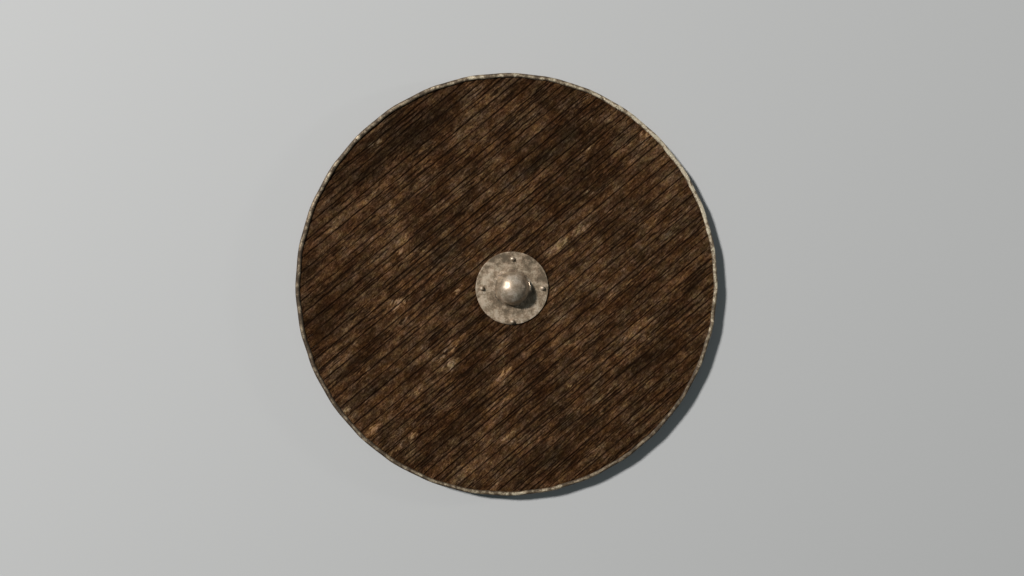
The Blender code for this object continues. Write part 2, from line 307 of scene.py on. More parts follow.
def noise(tree, vector, size, detail=2.0, rough=0.5, turn=0.0, shift=0.0):
    """Noise whose hills have these sizes in millimetres, with the first of them turned this far."""
    inputs = {
        "Vector": vector,
        "Location": (shift, shift, shift),
        "Rotation": (0, 0, turn),
        "Scale": [hill * MM for hill in size],
    }
    mapped = add_node(tree, "Mapping", inputs, vector_type="TEXTURE").outputs[0]
    return plain_noise(tree, mapped, detail, rough)


def attribute(tree, name, kind="Fac"):
    return add_node(tree, "Attribute", attribute_name=name).outputs[kind]


def new_group(name, inputs, outputs):
    """A node group, with None for a vector input. Returns it, what comes in and what goes out."""
    tree = bpy.data.node_groups.new(name, "ShaderNodeTree")
    for label, value in inputs.items():
        kind = "NodeSocketVector" if value is None else "NodeSocketFloat"
        socket = tree.interface.new_socket(label, in_out="INPUT", socket_type=kind)
        if value is not None:
            socket.default_value = value
    for label in outputs:
        tree.interface.new_socket(label, in_out="OUTPUT", socket_type="NodeSocketFloat")
    return tree, tree.nodes.new("NodeGroupInput").outputs, tree.nodes.new("NodeGroupOutput").inputs


def new_material(name):
    """A new finish, its tree and the inputs of its shader."""
    material = bpy.data.materials.new(name)
    material.use_nodes = True
    return material, material.node_tree, material.node_tree.nodes["Principled BSDF"].inputs


def add_bump(tree, shader, height, distance, strength):
    bump = add_node(tree, "Bump", {"Height": height, "Distance": distance, "Strength": strength})
    tree.links.new(bump.outputs["Normal"], shader["Normal"])


# %% [markdown]
# ## Group: broken mask
#
# Dirt in a hollow and wear on an edge never end in a clean line. This group takes a plain mask and frays
# its border with noise. Wood and iron both use it, each with its own grain size.

# %% Broken mask
broken_mask, coming, going = new_group(
    "broken mask", {"Mask": 0.0, "Vector": None, "Fray": 0.6}, ["Mask"]
)
fray = plain_noise(broken_mask, coming["Vector"], detail=4, rough=0.65)
fray = calc(broken_mask, "MULTIPLY", calc(broken_mask, "SUBTRACT", fray, 0.5), coming["Fray"])
frayed = calc(broken_mask, "ADD", coming["Mask"], calc(broken_mask, "MULTIPLY", fray, 2.0))
frayed = calc(broken_mask, "MULTIPLY", frayed, stretch(broken_mask, coming["Mask"], 0.02, 0.25))
broken_mask.links.new(stretch(broken_mask, frayed, 0.15, 0.75), going["Mask"])
print("broken mask has", len(broken_mask.nodes), "nodes")

# %% [markdown]
# ## Group: wood grain
#
# Grain is noise that is drawn out along the board: broad bands from the growth rings, streaks, strokes and
# nicks that run slightly askew where the wood was hewn, and fine dark pores. The group reads a vector that
# every point of a board carries: its place along and across that board. So each board has its own grain,
# which bends round a knot together with the mesh.

# %% Wood grain
FIBRE_SLANT = math.radians(12)
# size of the hills in millimetres, detail, roughness, turn, and the range that is stretched
GRAIN_PARTS = {
    "Bands": ((140, 16, 16), 3, 0.5, 0.0, 0.3, 0.7),
    "Streaks": ((42, 4.5, 4.5), 3, 0.6, 0.0, 0.3, 0.7),
    "Strokes": ((20, 4, 4), 3, 0.6, FIBRE_SLANT, 0.3, 0.7),
    "Nicks": ((14, 9, 9), 4, 0.9, FIBRE_SLANT, 0.3, 0.7),
    "Pores": ((6.5, 0.5, 0.5), 1, 0.5, 0.0, 0.60, 0.68),
}

wood_grain, coming, going = new_group("wood grain", {"Grain": None, "Fineness": 1.0}, GRAIN_PARTS)
grain_vector = scaled(wood_grain, coming["Grain"], coming["Fineness"])
for label, (size, detail, rough, turn, low, high) in GRAIN_PARTS.items():
    part = noise(wood_grain, grain_vector, size, detail, rough, turn)
    wood_grain.links.new(stretch(wood_grain, part, low, high), going[label])
print("wood grain has", len(wood_grain.nodes), "nodes")

# %% [markdown]
# ## The boards: where they lie
#
# Forty-one narrow boards lie edge to edge, turned 39.6 degrees up from the X axis, and a ring of 32 short
# sides bounds them. A Boolean of fine meshes would be slow, so each board is a grid whose rows stretch from
# one end of its own chord to the other. The CAD nodes tell how wide and how high the boards are.

# %% Board places
BOARD_TURN = math.radians(39.6)
SIDE_COUNT = 32
CORNER_EASE = 12.0 * MM
RIM_WALL = 2.2 * MM
FIT_GAP = 0.3 * MM
SHIELD_RADIUS = 440.0 * MM  # to the corners, before they are eased
DISC_RADIUS = SHIELD_RADIUS - RIM_WALL - FIT_GAP
HOLE_RADIUS = 44.0 * MM
along_axis = np.array((math.cos(BOARD_TURN), math.sin(BOARD_TURN)))
across_axis = np.array((-math.sin(BOARD_TURN), math.cos(BOARD_TURN)))


def board_frame(node):
    """Lowest and highest place of a CAD board across the row, and its lowest and highest point."""
    places = mesh_points(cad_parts[node])
    across = places[:, :2] @ across_axis
    return across.min(), across.max(), places[:, 2].min(), places[:, 2].max()


def side_lines(radius):
    """The directions and distances of the lines that bound the disc: sides, then eased corners."""
    half = math.pi / SIDE_COUNT
    corner_turns = 2 * half * np.arange(SIDE_COUNT)
    turns = np.concatenate([corner_turns + half, corner_turns])
    distances = np.full(2 * SIDE_COUNT, radius * math.cos(half))
    distances[SIDE_COUNT:] = radius - CORNER_EASE * math.sin(half)
    return turns, distances


def chord(across):
    """Where lines along the boards enter and leave the disc, for each place across."""
    turns, distances = side_lines(DISC_RADIUS)
    ahead, aside = np.cos(turns - BOARD_TURN), np.sin(turns - BOARD_TURN)
    crossing = (distances - aside * np.asarray(across)[..., None]) / np.where(ahead, ahead, 1)
    ends = np.where(ahead > 0.001, crossing, np.inf).min(-1)
    starts = np.where(ahead < -0.001, crossing, -np.inf).max(-1)
    return starts, ends


board_names = sorted(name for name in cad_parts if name.startswith("board_"))
low_side, high_side, back_z, face_z = board_frame("board_10")
board_width = high_side - low_side
print(len(board_names), "board nodes,", round(board_width / MM, 2), "mm wide")

# %% [markdown]
# ## The boards: what shows on them
#
# Pale figured patches, where a branch once left the trunk, bend the grain, and dark cool stains lie across
# several boards. Both are lists of places along and across the boards, in millimetres. The whole face has
# also aged unevenly, so broad soft areas are a little lighter or darker than the rest.

# %% Figured patches and stains
# along, across, half length, half width, strength
PALE_FIGURES = (
    (-199, 125, 14, 9, 1.5), (-199, -41, 15, 9, 1.6), (-191, -17, 24, 6, 0.8), (-284, -40, 12, 6, 0.6),
    (-341, 62, 16, 7, 0.5), (-372, -104, 34, 8, 0.7), (-404, -41, 24, 9, 0.55), (-424, 24, 16, 12, 0.5),
    (-128, 205, 14, 7, 0.6), (-95, 67, 12, 6, 0.5), (-81, 177, 12, 6, 0.5), (305, 121, 18, 8, 0.6),
    (422, 62, 22, 14, 0.8), (244, 49, 13, 7, 0.6), (-118, -126, 14, 7, 0.7), (-45, -236, 12, 6, 0.6),
    (-226, -293, 14, 8, 0.5), (-25, 402, 26, 7, 0.5), (136, 6, 26, 7, 0.8), (178, 4, 18, 6, 0.8),
    (-221, 90, 20, 7, 0.5),
)
DARK_STAINS = (
    (60, 372, 90, 26, 0.8), (-8, 411, 60, 14, 0.6), (-86, 369, 60, 16, 0.6), (-53, 139, 36, 12, 0.8),
    (240, 165, 120, 12, 0.8), (300, 92, 60, 10, 0.6), (104, -296, 70, 16, 0.7), (-96, -290, 26, 10, 0.6),
    (330, -120, 70, 16, 0.5), (-330, 20, 60, 10, 0.6), (-160, -330, 70, 18, 0.5),
)
# x, y, half width, half height, strength; dark areas are negative
BROAD_AREAS = (
    (-15, 200, 32, 32, 0.8), (215, 215, 42, 24, 0.8), (300, 275, 46, 38, 1.0), (80, 80, 38, 24, 0.9),
    (145, 10, 24, 20, 0.8), (-245, 75, 46, 28, 0.9), (-375, 115, 30, 20, 0.6), (-235, -45, 20, 20, 0.7),
    (-145, -140, 34, 30, 1.0), (-25, -195, 30, 42, 0.9), (-10, -330, 50, 36, 1.0),
    (-310, -230, 38, 34, 1.0), (-95, -55, 38, 34, 0.6), (270, -80, 52, 38, 0.5), (120, -185, 46, 30, 0.5),
    (-110, -370, 30, 24, 0.7), (-185, 340, 52, 42, -1.1), (-285, 230, 30, 30, -1.0),
    (-360, -65, 54, 74, -1.1), (275, -230, 74, 24, -1.1), (155, -290, 38, 30, -0.9),
    (-190, -260, 46, 42, -0.7), (105, 255, 42, 32, -0.7), (225, 120, 46, 30, -0.6),
    (-125, 70, 16, 24, -0.8), (-135, 270, 18, 30, -0.6), (335, -90, 24, 38, -0.6),
)


def soft_spot(first, second, spot):
    """One soft oval patch: its strength in its middle, and nothing far from it."""
    middle_first, middle_second, half_first, half_second, strength = spot
    away = ((first - middle_first) / half_first) ** 2 + ((second - middle_second) / half_second) ** 2
    return strength * np.exp(-away)


def spots(first, second, places):
    """How strongly the nearest patch shows at each point."""
    return np.max([soft_spot(first, second, spot) for spot in places], axis=0)


# %% [markdown]
# The heights of a board's face are worked out in millimetres, downwards from its highest plane. A point's
# grain line is its place across the board, bent by a slow wander and round the pale figures. The strongest
# figures close it into rings, as a knot does. Ridges, fibres and cracks all follow the grain lines.

# %% Relief of the wood
FIGURE_BEND = 0.75
LONG_CRACK_WIDTH = 1.6
SHORT_CRACK_WIDTH = 1.35


def grain_line(along, across, seed):
    """The grain line that a point lies on, in millimetres across."""
    line = across + 2.6 * hills(along / 190, across / 60, seed) + 1.0 * hills(along / 48, across / 9, seed)
    for spot in PALE_FIGURES:
        line = line - FIGURE_BEND * soft_spot(along, across, spot) * (across - spot[1])
    return line


def grain_height(along, line, seed):
    """Ridges of hard grain, finer fibres between them and short ones askew, from -1 to 1."""
    ridges = hills(along / 60, line / 4.6, seed)
    fine = hills(along / 21, line / 2.5, seed + 1)
    askew_along = along * math.cos(FIBRE_SLANT) + line * math.sin(FIBRE_SLANT)
    askew_line = line * math.cos(FIBRE_SLANT) - along * math.sin(FIBRE_SLANT)
    hewn = hills(askew_along / 9, askew_line / 2.8, seed + 2)
    return 0.36 * ridges + 0.32 * fine + 0.32 * hewn


def crack_depth(along, line, cracks):
    """Depth of the deepest crack at each point. A crack narrows to nothing at its ends."""
    depth = np.zeros(line.shape)
    line = line + 0.8 * hills(along / 11, line / 6, 3) + 0.5 * hills(along / 5, line / 4, 4)
    for crack_line, middle, half_length, width, deep in cracks:
        taper = np.clip(2.5 * (1 - np.abs(along - middle) / half_length), 0, 1)
        depth = np.maximum(depth, deep * taper * np.exp(-(((line - crack_line) / width) ** 2)))
    return depth


def edge_drop(from_edge, along, seed):
    """How far the worn long edge of a board drops away, which makes the V at each joint."""
    openness = 0.62 + 0.55 * hills(along / 75, 0.5, seed) + 0.45 * hills(along / 12, 0.5, seed + 1)
    openness = np.clip(openness, 0, 1)
    share = np.clip(1 - from_edge / (1.2 + 2.0 * openness), 0, 1)
    return (0.35 + 1.15 * openness) * share**1.3


def board_cracks(random, middle, length):
    """Cracks: a few long ones near the middle of the board and many short ones anywhere."""
    cracks = []
    for _ in range(4):
        place = middle + random.normal(0, 3.5)
        centre = random.uniform(-0.5, 0.5) * length
        cracks.append((place, centre, random.uniform(25, 110), LONG_CRACK_WIDTH, random.uniform(0.4, 1.3)))
    for _ in range(int(length / 30)):
        place = middle + random.uniform(-9.5, 9.5)
        centre = random.uniform(-0.5, 0.5) * length
        cracks.append((place, centre, random.uniform(7, 32), SHORT_CRACK_WIDTH, random.uniform(0.35, 1.2)))
    return cracks


joint_drops = edge_drop(np.zeros(200), np.arange(200.0), 1)
print("a joint drops by", round(float(joint_drops.min()), 2), "to", round(float(joint_drops.max()), 2), "mm")

# %% [markdown]
# ## The boards: building them
#
# The section of a board is a closed loop of columns: close together over the face, where the grain shows,
# and further apart on the back. Rows follow every four millimetres. The boards that the hand hole cuts end
# on its circle, and the two at its sides are squeezed to make room for it. The face lies a little higher
# under the rim, where no weather reaches it. All depths are in millimetres.

# %% Build the boards
ROW_STEP = 4.0 * MM
EDGE_COLUMNS = np.array((0, 0.35, 0.8, 1.3, 1.9, 2.6))
FACE_STEP = 0.85
BACK_COLUMNS = np.array((0, 0.7, 1.6))
GLUED_REACH = 0.148  # half the gap between two boards, in millimetres
DISC_REACH = 435.0 * MM
LEAST_DEPTH = 0.25  # of the hard grain under the CAD face
BOARD_STEP = 0.35  # between the highest and the lowest board
BOARD_LEAN = 0.35  # at 10 mm from the middle of a board
GRAIN_RELIEF = 0.48
DEEPEST = 4.0
BACK_RELIEF = 0.10
RIM_COVER = 17.0
RIM_EASE = 9.0


def face_columns(width):
    """Places across the face, in millimetres from its middle, closest at both edges."""
    inner = width / 2 - EDGE_COLUMNS[-1]
    middle = np.linspace(-inner, inner, round(2 * inner / FACE_STEP) + 1)[1:-1]
    return np.concatenate([EDGE_COLUMNS - width / 2, middle, (width / 2 - EDGE_COLUMNS)[::-1]])


def back_columns(width):
    inner = np.linspace(-0.28, 0.28, 4) * width
    return np.concatenate([width / 2 - BACK_COLUMNS, inner[::-1], (BACK_COLUMNS - width / 2)[::-1]])


def board_points(along, across, height):
    """Points from their places along and across the boards and their heights."""
    x, y = (along * along_axis[i] + across * across_axis[i] for i in (0, 1))
    return np.stack([x, y, height], axis=-1)


def make_board(name, number, material):
    random = np.random.default_rng(number)
    low, high, _, _ = board_frame(name)
    low, high = max(low, -DISC_REACH), min(high, DISC_REACH)
    middle, width = (low + high) / 2, (high - low)
    face, rear = face_columns(width / MM), back_columns(width / MM)
    glued = width / MM / 2 + GLUED_REACH
    local = np.concatenate([face, [glued], rear, [-glued]])
    across = middle + local * MM
    starts, ends = chord(across)
    if name.endswith("_lower"):
        ends = -np.sqrt(HOLE_RADIUS**2 - across**2)
    if name.endswith("_upper"):
        starts = np.sqrt(HOLE_RADIUS**2 - across**2)
    rows = max(round(float((ends - starts).max()) / ROW_STEP), 6) + 1
    share = np.linspace(0, 1, rows)[:, None]
    along = starts + (ends - starts) * share
    across = np.broadcast_to(across, along.shape).copy()
    if name in ("board_19", "board_23"):
        side = 1 if middle > 0 else -1
        inside = np.sqrt(np.clip(HOLE_RADIUS**2 - along**2, 0, None))
        near_edge = min(abs(low), abs(high))
        room = np.clip(inside - near_edge, 0, None)
        across += side * room * (1 - (np.abs(across) - near_edge) / width)
    along_mm, across_mm = along / MM, across / MM
    column = np.arange(len(local))
    is_face = column < len(face)
    is_side = (column == len(face)) | (column == len(local) - 1)
    length = float((ends - starts).max()) / MM
    line = grain_line(along_mm, across_mm, number)
    height = grain_height(along_mm, line, number)
    cracks = crack_depth(along_mm, line, board_cracks(random, middle / MM, length))
    from_edge = np.clip(width / MM / 2 - np.abs(local), 0, None)
    drop = edge_drop(from_edge, along_mm, 3 * number + 50 * (local > 0))
    from_end = np.minimum(along - starts, ends - along) / MM
    under_rim = np.clip((RIM_COVER - from_end) / RIM_EASE, 0, 1)
    lean = random.uniform(-BOARD_LEAN, BOARD_LEAN)
    level = LEAST_DEPTH + random.uniform(0, BOARD_STEP) + lean * local / 10
    level = level + 0.15 * hills(along_mm / 90, 0.5, number)
    face_depth = level + GRAIN_RELIEF * (1 - height) + np.maximum(cracks, drop)
    face_depth = np.clip(face_depth * (1 - 0.7 * under_rim), 0.02, DEEPEST)
    back_depth = BACK_RELIEF * (1 - height) + 0.6 * edge_drop(from_edge, along_mm, 3 * number + 7)
    z = np.where(is_face, face_z - face_depth * MM, back_z + back_depth * MM)
    z = np.where(is_side, (face_z + back_z) / 2, z)
    points = board_points(along, across, z)
    x, y = points[..., 0] / MM, points[..., 1] / MM
    piece = grid_piece(f"aged_{name}", points, seal_ends=True)
    sunk = np.where(is_face, np.maximum(cracks, 1.05 * drop), 1.2 * back_depth) / 1.05 + 1.0 * is_side
    store(
        piece,
        grain=np.stack([along, line * MM, z + number], axis=-1),
        hollow=np.clip(sunk, 0, 1),
        lift=0.5 + 0.5 * height,
        pale=spots(along_mm, across_mm, PALE_FIGURES) * is_face,
        stain=spots(along_mm, across_mm, DARK_STAINS) * is_face,
        shade=sum(soft_spot(x, y, spot) for spot in BROAD_AREAS),
        tint=np.full(along.size, random.uniform(0, 1)),
    )
    put_in_place(piece, name, material)
    return piece


# %% [markdown]
# ## Finish: weathered wood
#
# The wood is nearly black in its joints and cracks, dark brown in the soft grain and tan on the hard ridges
# that hands and weather have rubbed. One tone value gathers the grain, the height of the ridge, the board's
# own tint and the patches. A ramp turns it into colour, and slower noises shift the hue towards red-brown
# or grey.

# %% Weathered wood
WOOD_COLOURS = [
    (0.00, (0.0078, 0.0024, 0.0004)),
    (0.17, (0.0148, 0.0052, 0.0011)),
    (0.38, (0.0294, 0.0128, 0.0043)),
    (0.58, (0.0612, 0.0297, 0.0120)),
    (0.81, (0.1430, 0.0775, 0.0352)),
    (1.00, (0.2850, 0.1760, 0.0900)),
]
RED, GREEN = (1.08, 0.955, 0.84), (0.93, 1.045, 1.16)
GOLD, VIOLET = (1.01, 1.02, 0.84), (1.0, 0.985, 1.18)
STAIN_TINT = (0.80, 1.02, 1.25)
PORE_TINT = (0.4, 0.35, 0.3)
CRACK_DIRT = (0.0085, 0.0034, 0.0010)
MIDDLE_WOOD = 0.545

board_wood, tree, shader = new_material("weathered_wood")
grain = attribute(tree, "grain", "Vector")
place = add_node(tree, "TexCoord").outputs["Object"]
parts = place_group(tree, wood_grain, {"Grain": grain, "Fineness": 1.0})
clouds = noise(tree, place, (120, 90, 90), detail=2, turn=BOARD_TURN)
mottle = noise(tree, place, (60, 45, 45), detail=6, rough=0.9, turn=BOARD_TURN)
specks = noise(tree, place, (4.2, 3, 3), detail=2, turn=BOARD_TURN + FIBRE_SLANT)
clouds, mottle, specks = (stretch(tree, part, 0.3, 0.7) for part in (clouds, mottle, specks))
pale_vector = scaled(tree, grain, (75, 300, 300))
pale = place_group(
    tree, broken_mask, {"Mask": attribute(tree, "pale"), "Vector": pale_vector, "Fray": 1.5}
)["Mask"]
pale = calc(tree, "MULTIPLY", pale, stretch(tree, parts["Strokes"], 0.15, 0.85, 0.2, 1.15))
stain = attribute(tree, "stain")
tone_parts = [
    (clouds, 0.11),
    (mottle, 0.30),
    (specks, 0.15),
    (parts["Bands"], 0.13),
    (parts["Streaks"], 0.17),
    (parts["Strokes"], 0.14),
    (parts["Nicks"], 0.32),
    (attribute(tree, "lift"), 0.09),
    (attribute(tree, "tint"), 0.08),
]
middle_tone = MIDDLE_WOOD - sum(weight for _, weight in tone_parts) / 2
patches = [(attribute(tree, "shade"), 0.125), (pale, 0.44), (stain, -0.20)]
tone = calc(tree, "ADD", weighed_sum(tree, tone_parts + patches), middle_tone)
wood_colour = colour_ramp(tree, tone, WOOD_COLOURS)
red_to_green = noise(tree, place, (42, 32, 32), detail=5, rough=0.7, turn=BOARD_TURN, shift=3.0)
gold_to_violet = noise(tree, place, (17, 12, 12), detail=4, rough=0.8, turn=BOARD_TURN, shift=5.0)
for hue, first, second in ((red_to_green, RED, GREEN), (gold_to_violet, GOLD, VIOLET)):
    hue = blend(tree, stretch(tree, hue, 0.34, 0.66), first, second)
    wood_colour = blend(tree, 1.0, wood_colour, hue, "MULTIPLY")
wood_colour = blend(tree, stain, wood_colour, STAIN_TINT, "MULTIPLY")
in_pores = calc(tree, "MULTIPLY", parts["Pores"], 0.5)
wood_colour = blend(tree, in_pores, wood_colour, PORE_TINT, "MULTIPLY")
dirt_inputs = {
    "Mask": attribute(tree, "hollow"), "Vector": scaled(tree, grain, (130, 500, 500)), "Fray": 0.75
}
dirt = place_group(tree, broken_mask, dirt_inputs)["Mask"]
wood_colour = blend(tree, calc(tree, "MULTIPLY", dirt, 0.84), wood_colour, CRACK_DIRT)
tree.links.new(wood_colour, shader["Base Color"])
shader["Specular IOR Level"].default_value = 0.04
tree.links.new(stretch(tree, tone, 0.3, 0.8, 0.80, 0.62), shader["Roughness"])
surface_parts = [("Streaks", 0.8), ("Strokes", 0.8), ("Nicks", 1.4), ("Pores", -0.3)]
surface = weighed_sum(tree, [(parts[label], weight) for label, weight in surface_parts] + [(specks, 0.8)])
add_bump(tree, shader, surface, 0.6 * MM, 1.0)
print("weathered wood has", len(tree.nodes), "nodes")

# %% Make all boards
boards = [make_board(name, int(name[6:8]), board_wood) for name in board_names]
print(len(boards), "boards with", sum(len(piece.data.polygons) for piece in boards), "faces")

# %% [markdown]
# ## Finish: old iron
#
# Rim, boss, rivets and nails are iron that has been bare, rusted and rubbed many times. A group gives its
# three scales: blotches of patina, fine speckle and thin scratches. Every iron finish weighs them in its
# own way, and reads where its piece is rubbed, sheltered, pale, dull or smooth. On the rim part of this is
# painted light and shade: a painted highlight on the crest, a painted sheen in one stretch, and painted
# shade on the outer wall and in other stretches.

# %% Patina
patina, coming, going = new_group("patina", {"Vector": None}, ["Blotches", "Speckle", "Scratches"])
blotches = noise(patina, coming["Vector"], (14, 14, 14), detail=4, rough=0.62)
speckle = noise(patina, coming["Vector"], (3, 3, 3), detail=3, rough=0.6)
one_way = noise(patina, coming["Vector"], (22, 0.7, 3), detail=1, turn=math.radians(-33))
other_way = noise(patina, coming["Vector"], (18, 0.8, 3), detail=1, turn=math.radians(72), shift=2.0)
one_way, other_way = stretch(patina, one_way, 0.66, 0.72), stretch(patina, other_way, 0.68, 0.74)
scratches = calc(patina, "MAXIMUM", one_way, other_way)
patina.links.new(stretch(patina, blotches, 0.34, 0.66), going["Blotches"])
patina.links.new(stretch(patina, speckle, 0.34, 0.66), going["Speckle"])
patina.links.new(scratches, going["Scratches"])
print("patina has", len(patina.nodes), "nodes")


# %% Iron finishes
FRAY_SCALE = 260.0
DOME_SMOOTH = 0.55  # what the dome keeps as its "smooth"
MIDDLE_IRON = 0.46
RED_RUST, GREY_RUST = (1.04, 0.985, 0.95), (1.0, 1.0, 0.98)
SCRATCH_TINT = (1.45, 1.45, 1.45)
DOME_TINT = (1.55, 1.655, 1.84)
BROWN_DIRT_AND_SHADE = (0.040, 0.027, 0.017)


def iron_finish(name, stops, rough=(0.66, 0.48), metal=0.35, blotchy=1.0, uneven=1.0):
    """Old iron: a ramp from dark patina to bare metal, brown dirt where that stays, and painted shade on the
    rim's outer wall.
    """
    material, tree, shader = new_material(name)
    vector = add_node(tree, "TexCoord").outputs["Object"]
    marks = place_group(tree, patina, {"Vector": vector})
    smooth = attribute(tree, "smooth")
    dome_like = stretch(tree, smooth, 0.0, DOME_SMOOTH)
    fine = scaled(tree, vector, FRAY_SCALE)
    wear_and_sheen, dirt, light, shade = (
        place_group(tree, broken_mask, {"Mask": attribute(tree, mask), "Vector": fine, "Fray": 0.7})["Mask"]
        for mask in ("rubbed", "sheltered", "pale", "stain")
    )
    mottle_parts = [(marks["Blotches"], 0.58 * blotchy), (marks["Speckle"], 0.18 * blotchy)]
    middle_mottle = sum(weight for _, weight in mottle_parts) / 2
    mottle = calc(tree, "SUBTRACT", weighed_sum(tree, mottle_parts), middle_mottle)
    calmer = less(tree, 1.0, dome_like, 0.35)
    # on the rim the wear includes a painted highlight on the crest, and light and shade are painted sheen
    # and painted shade
    patches = [(wear_and_sheen, 0.35), (light, 0.24 * uneven), (shade, -0.24 * uneven)]
    tone = weighed_sum(tree, [(mottle, calmer), *patches])
    tone = calc(tree, "ADD", tone, MIDDLE_IRON)
    colour = colour_ramp(tree, tone, stops)
    scratched = calc(tree, "MULTIPLY", marks["Scratches"], 0.5)
    colour = blend(tree, scratched, colour, SCRATCH_TINT, "MULTIPLY")
    rust = noise(tree, vector, (13, 13, 13), detail=3, rough=0.6, shift=4.0)
    rust = blend(tree, stretch(tree, rust, 0.34, 0.66), RED_RUST, GREY_RUST)
    colour = blend(tree, 1.0, colour, rust, "MULTIPLY")
    colour = blend(tree, dome_like, colour, DOME_TINT, "MULTIPLY")
    # brown dirt where the piece is sheltered; on the rim's outer wall this is painted shade
    colour = blend(tree, calc(tree, "MULTIPLY", dirt, 0.85), colour, BROWN_DIRT_AND_SHADE)
    tree.links.new(colour, shader["Base Color"])
    cleaner = less(tree, 1.0, dirt, 0.8)
    bare = calc(tree, "ADD", metal, calc(tree, "MULTIPLY", smooth, 0.4))
    tree.links.new(calc(tree, "MULTIPLY", cleaner, bare), shader["Metallic"])
    roughness = stretch(tree, tone, 0.15, 0.95, rough[0], rough[1])
    tree.links.new(less(tree, roughness, smooth, 0.24), shader["Roughness"])
    surface_parts = [("Blotches", 0.6), ("Speckle", 0.5), ("Scratches", -0.5)]
    surface = weighed_sum(tree, [(marks[label], weight) for label, weight in surface_parts])
    flatter = less(tree, 1.0, dome_like, 0.93)
    add_bump(tree, shader, calc(tree, "MULTIPLY", surface, flatter), 0.5 * MM * blotchy, 0.8)
    return material


SHEET_IRON = [(0.1, (0.125, 0.092, 0.058)), (0.5, (0.280, 0.209, 0.138)), (0.9, (0.53, 0.43, 0.32))]
RIM_IRON_AND_SHEEN = [
    (0.1, (0.048, 0.032, 0.018)),
    (0.5, (0.120, 0.086, 0.053)),
    (0.84, (0.37, 0.297, 0.20)),
    # the last, nearly neutral stop is a painted highlight colour, which the crest reaches in the lighter
    # stretch
    (1, (0.66, 0.57, 0.42)),
]
FORGED_IRON = [(0.1, (0.05, 0.045, 0.04)), (0.9, (0.22, 0.20, 0.18))]
# on the rim the pale and stained patches are painted sheen and painted shade, made half as strong again
rim_iron = iron_finish("rim_iron", RIM_IRON_AND_SHEEN, metal=0.45, uneven=1.5)
boss_iron = iron_finish("boss_iron", SHEET_IRON)
rivet_iron = iron_finish("rivet_iron", SHEET_IRON, rough=(0.52, 0.36), blotchy=0.6)
nail_iron = iron_finish("nail_iron", FORGED_IRON, metal=0.75)

# %% [markdown]
# ## The rim
#
# The rim is a strip of iron bent over the edge of the wood and hammered down, side by side, in 32 short
# flats. Its section is a closed loop: over the rounded nose, down its outer wall, and back inside the
# channel. A plain polygon would have hard corners, so the outline's radius is averaged over about two
# degrees. Light and shade are painted on it: a painted sheen in one stretch at the upper right, painted
# shade in other stretches and on the outer wall, and a painted highlight, with some wear, along the crest.

# %% Rim
RIM_BAND = 9.5
RIM_CREST = 2.2
RIM_LIP = 0.5
RIM_NOSE = 5.5
NOSE_FULLNESS = 2.6
RIM_ROWS = 960
RIM_DENT = 0.22
RIM_FINE_DENT = 0.12
LIP_RAGGED = 0.55
INSIDE_POINTS = 4
# direction and half length in degrees of a painted sheen: this stretch is painted lighter
PAINTED_SHEEN_STRETCH = (36, 27)
# the same and strength, for stretches of painted shade, which are painted darker
PAINTED_SHADE_STRETCHES = ((190, 70, 0.66), (118, 18, 0.3), (240, 22, 0.12), (314, 30, 0.72))


def outline_radius(radius, turns):
    """The radius of the soft polygon in each direction."""
    line_turns, distances = side_lines(radius)
    soft = np.zeros(turns.shape)
    softening = np.radians(np.linspace(-0.9, 0.9, 7))
    for shift in softening:
        facing = np.cos((turns + shift)[..., None] - line_turns)
        soft += np.where(facing > 0.5, distances / np.maximum(facing, 0.5), np.inf).min(-1)
    return soft / len(softening)


def rim_section():
    """Distance in from the outside and height from the middle plane, in millimetres."""
    half_channel = (face_z - back_z) / MM / 2 + 0.3
    crest = half_channel + RIM_CREST
    nose = np.linspace(math.pi / 2, -math.pi / 2, 19)
    nose_in = RIM_NOSE * (1 - np.maximum(np.cos(nose), 0) ** (2 / NOSE_FULLNESS))
    nose_up = crest * np.sign(np.sin(nose)) * np.abs(np.sin(nose)) ** (2 / NOSE_FULLNESS)
    lip_in = np.array((RIM_BAND, RIM_BAND - 0.1, RIM_BAND - 0.5, RIM_BAND - 1.3, RIM_BAND - 2.6))
    rise = RIM_LIP + (RIM_CREST - RIM_LIP) * np.array((-0.35, 0.0, 0.28, 0.62, 0.90))
    front = [(i, half_channel + u) for i, u in zip(lip_in, rise)]
    rear = [(i, -half_channel - u) for i, u in zip(lip_in[::-1], rise[::-1])]
    wall = RIM_WALL / MM
    inside = [(i, u * half_channel) for i, u in ((RIM_BAND, -1), (wall, -1), (wall, 1), (RIM_BAND, 1))]
    return np.array(front + list(zip(nose_in, nose_up)) + rear + inside)


section = rim_section()
turns = np.linspace(0, 2 * math.pi, RIM_ROWS, endpoint=False)[:, None]
run = turns * SHIELD_RADIUS / MM
inward, rise = section[:, 0], section[:, 1]
outer = np.arange(len(section)) < len(section) - INSIDE_POINTS
dent = RIM_DENT * (1 + hills(run / 21, rise / 5, 5)) + RIM_FINE_DENT * (1 + hills(run / 7, rise / 3, 6))
ragged = LIP_RAGGED * hills(run / 16, np.sign(rise), 8) * np.clip((inward - 7) / 2.5, 0, 1) * outer
over_nose = np.where(inward < RIM_NOSE + 0.1, np.clip(1 - inward / 8, 0.2, 1), 1)
deep = inward + (dent + ragged) * outer * over_nose
radius = outline_radius(SHIELD_RADIUS, turns) - deep * MM
sink = 1 - 0.035 * dent / 0.4 * outer
middle_z = (face_z + back_z) / 2
points = turned(turns, radius, middle_z + rise * sink * MM)
rim = grid_piece("aged_rim", points, round_rows=True)
corner_turn = 2 * math.pi / SIDE_COUNT
to_corner = np.abs((turns + corner_turn / 2) % corner_turn - corner_turn / 2) * SHIELD_RADIUS / MM
corner_rub = np.exp(-((to_corner / 14) ** 2)) * outer * (inward < RIM_NOSE + 1)
